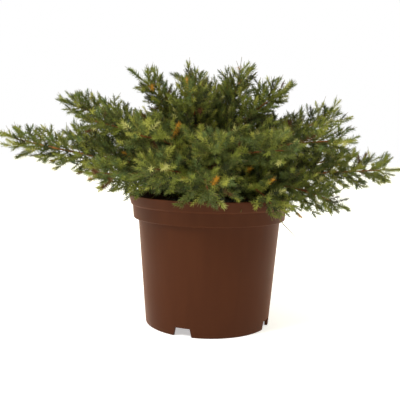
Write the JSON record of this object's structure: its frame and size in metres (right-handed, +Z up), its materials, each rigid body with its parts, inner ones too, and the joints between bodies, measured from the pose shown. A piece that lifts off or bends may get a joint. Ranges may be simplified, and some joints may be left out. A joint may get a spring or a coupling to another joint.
{
  "type": "potted dwarf juniper shrub",
  "caption": "Low spreading needled evergreen shrub with layered boughs, growing in a round nursery pot.",
  "frame": {"origin": "centre of the pot's underside, on the surface the pot stands on", "axes": "+Z up along the pot's axis, +X to the right and -Y to the front as seen in the picture"},
  "size_m": [0.4756, 0.35, 0.306],
  "materials": {
    "pot": "moulded brown plastic with a soft sheen",
    "soil": "moist dark potting soil",
    "bark": "rough orange-brown bark",
    "foliage": "matt olive-green needles"
  },
  "bodies": {
    "root": {"pot": "pot", "soil": "soil", "trunk": "bark", "bough_low_right_back": "bark", "bough_low_back_right": "bark", "bough_low_back": "bark", "bough_low_back_left": "bark", "bough_low_left_back": "bark", "bough_low_left": "bark", "bough_low_left_front": "bark", "bough_low_front_left": "bark", "bough_low_front": "bark", "bough_low_front_right": "bark", "bough_low_right_front": "bark", "bough_low_right": "bark", "bough_middle_left": "bark", "bough_middle_left_front": "bark", "bough_middle_front_left": "bark", "bough_middle_front": "bark", "bough_middle_front_right": "bark", "bough_middle_right_front": "bark", "bough_middle_right": "bark", "bough_middle_back_right": "bark", "bough_middle_back_left": "bark", "bough_high_right_side": "bark", "bough_high_right": "bark", "bough_high_left": "bark", "bough_high_back": "bark", "bough_high_front": "bark", "foliage_low_right_back": "foliage", "foliage_low_back_right": "foliage", "foliage_low_back": "foliage", "foliage_low_back_left": "foliage", "foliage_low_left_back": "foliage", "foliage_low_left": "foliage", "foliage_low_left_front": "foliage", "foliage_low_front_left": "foliage", "foliage_low_front": "foliage", "foliage_low_front_right": "foliage", "foliage_low_right_front": "foliage", "foliage_low_right": "foliage", "foliage_middle_left": "foliage", "foliage_middle_left_front": "foliage", "foliage_middle_front_left": "foliage", "foliage_middle_front": "foliage", "foliage_middle_front_right": "foliage", "foliage_middle_right_front": "foliage", "foliage_middle_right": "foliage", "foliage_middle_back_right": "foliage", "foliage_middle_back_left": "foliage", "foliage_high_right_side": "foliage", "foliage_high_right": "foliage", "foliage_high_left": "foliage", "foliage_high_back": "foliage", "foliage_high_front": "foliage", "foliage_crown": "foliage"}
  },
  "joints": []
}
